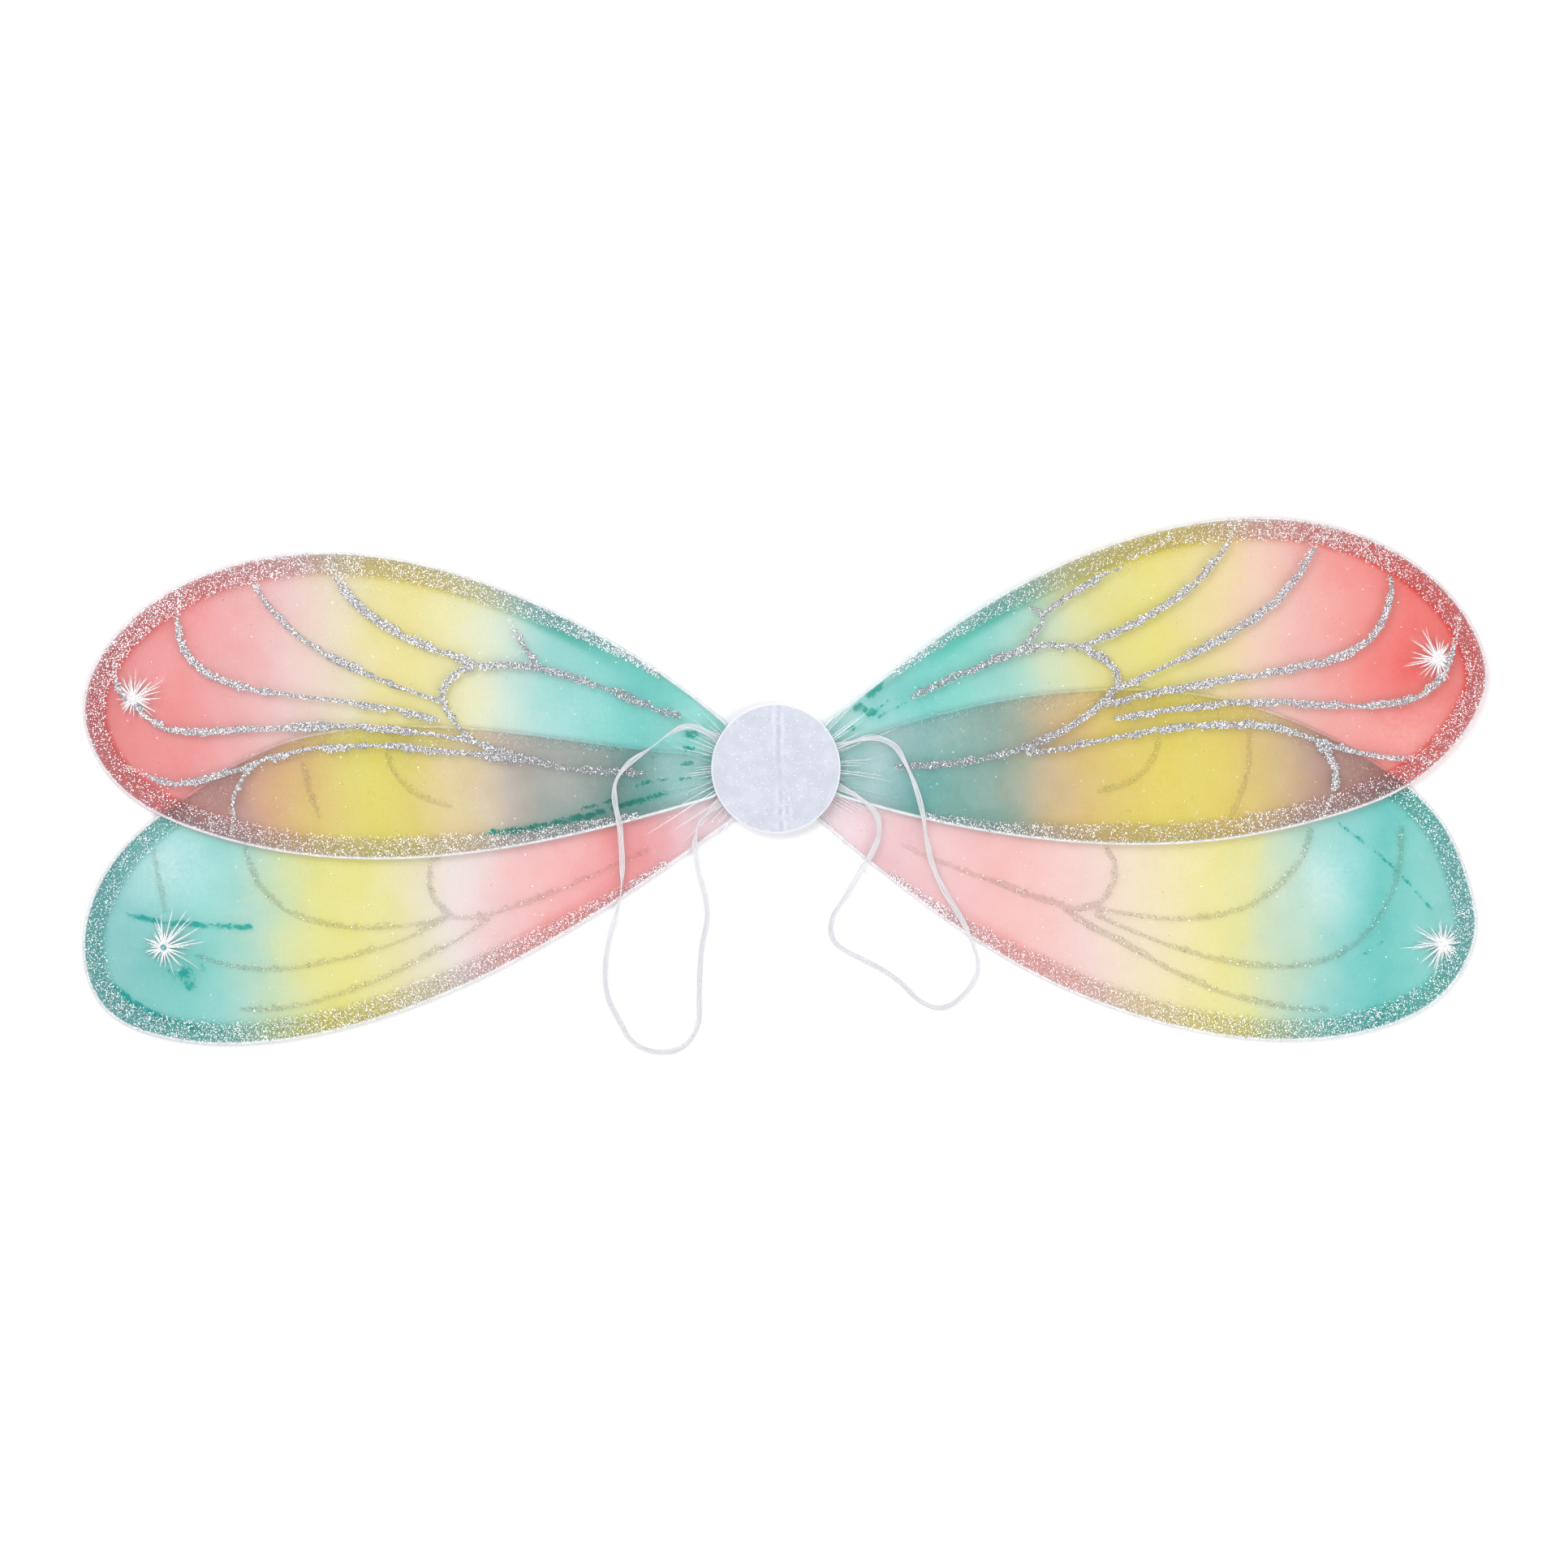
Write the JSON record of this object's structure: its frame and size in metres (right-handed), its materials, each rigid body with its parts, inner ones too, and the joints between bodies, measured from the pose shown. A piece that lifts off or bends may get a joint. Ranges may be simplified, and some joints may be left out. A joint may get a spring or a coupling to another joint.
{
  "type": "fairy wings",
  "caption": "Pair of costume fairy wings: four wire-framed nylon wings with glitter veins on a round felt hub that folds in half, with two elastic shoulder loops",
  "frame": {"origin": "centre of the hub, on the underside of the back disc, which rests on the surface", "axes": "+X from the left wings to the right wings, +Y to the top of the wings, +Z out of the front disc towards the wearer's back"},
  "size_m": [0.8486, 0.3247, 0.0121],
  "materials": {
    "hub_felt": "matte pressed felt with fine sparkle",
    "hub_tape": "cloth tape",
    "hot_glue": "satin hot-melt glue",
    "frame_wire": "white coated spring wire",
    "upper_nylon": "sheer dyed nylon knit, pink to yellow to teal",
    "lower_nylon": "sheer dyed nylon knit, teal to yellow to pink",
    "glitter": "silver glitter glue",
    "thread": "wound polyester thread",
    "strap_elastic": "flat multi-strand elastic with silver thread"
  },
  "bodies": {
    "right_half": {"front_disc": "hub_felt", "back_disc": "hub_felt", "glue_pad": "hot_glue", "hub_tape": "hub_tape", "right_strap": "strap_elastic", "right_upper_knot": "strap_elastic", "right_lower_knot": "strap_elastic"},
    "left_half": {"left_strap": "strap_elastic", "left_upper_knot": "strap_elastic", "left_lower_knot": "strap_elastic"},
    "upper_left_wing": {"upper_left_frame": "frame_wire", "upper_left_membrane": "upper_nylon", "upper_left_root_tie": "thread", "upper_left_tip_knot": "thread", "upper_left_edge_glitter": "glitter", "upper_left_veins": "glitter"},
    "upper_right_wing": {"upper_right_frame": "frame_wire", "upper_right_membrane": "upper_nylon", "upper_right_root_tie": "thread", "upper_right_tip_knot": "thread", "upper_right_edge_glitter": "glitter", "upper_right_veins": "glitter"},
    "lower_left_wing": {"lower_left_frame": "frame_wire", "lower_left_membrane": "lower_nylon", "lower_left_root_tie": "thread", "lower_left_tip_knot": "thread", "lower_left_edge_glitter": "glitter", "lower_left_veins": "glitter"},
    "lower_right_wing": {"lower_right_frame": "frame_wire", "lower_right_membrane": "lower_nylon", "lower_right_root_tie": "thread", "lower_right_tip_knot": "thread", "lower_right_edge_glitter": "glitter", "lower_right_veins": "glitter"}
  },
  "joints": [
    {"name": "centre_fold", "type": "hinge", "parent": "right_half", "child": "left_half", "pos_m": [0, 0, 0.0123], "axis": [0, 1, 0], "range_deg": [0, 170], "deforming": ["front_disc", "back_disc", "glue_pad", "hub_tape"]},
    {"name": "upper_left_spread", "type": "hinge", "parent": "left_half", "child": "upper_left_wing", "pos_m": [-0.009, 0.002, 0.00595], "axis": [0, 0, -1], "range_deg": [-3, 12]},
    {"name": "lower_left_spread", "type": "hinge", "parent": "left_half", "child": "lower_left_wing", "pos_m": [-0.009, -0.005, 0.00335], "axis": [0, 0, 1], "range_deg": [-12, 2]},
    {"name": "upper_right_spread", "type": "hinge", "parent": "right_half", "child": "upper_right_wing", "pos_m": [0.009, 0.002, 0.00595], "axis": [0, 0, 1], "range_deg": [-3, 12]},
    {"name": "lower_right_spread", "type": "hinge", "parent": "right_half", "child": "lower_right_wing", "pos_m": [0.009, -0.005, 0.00335], "axis": [0, 0, -1], "range_deg": [-12, 2]}
  ]
}
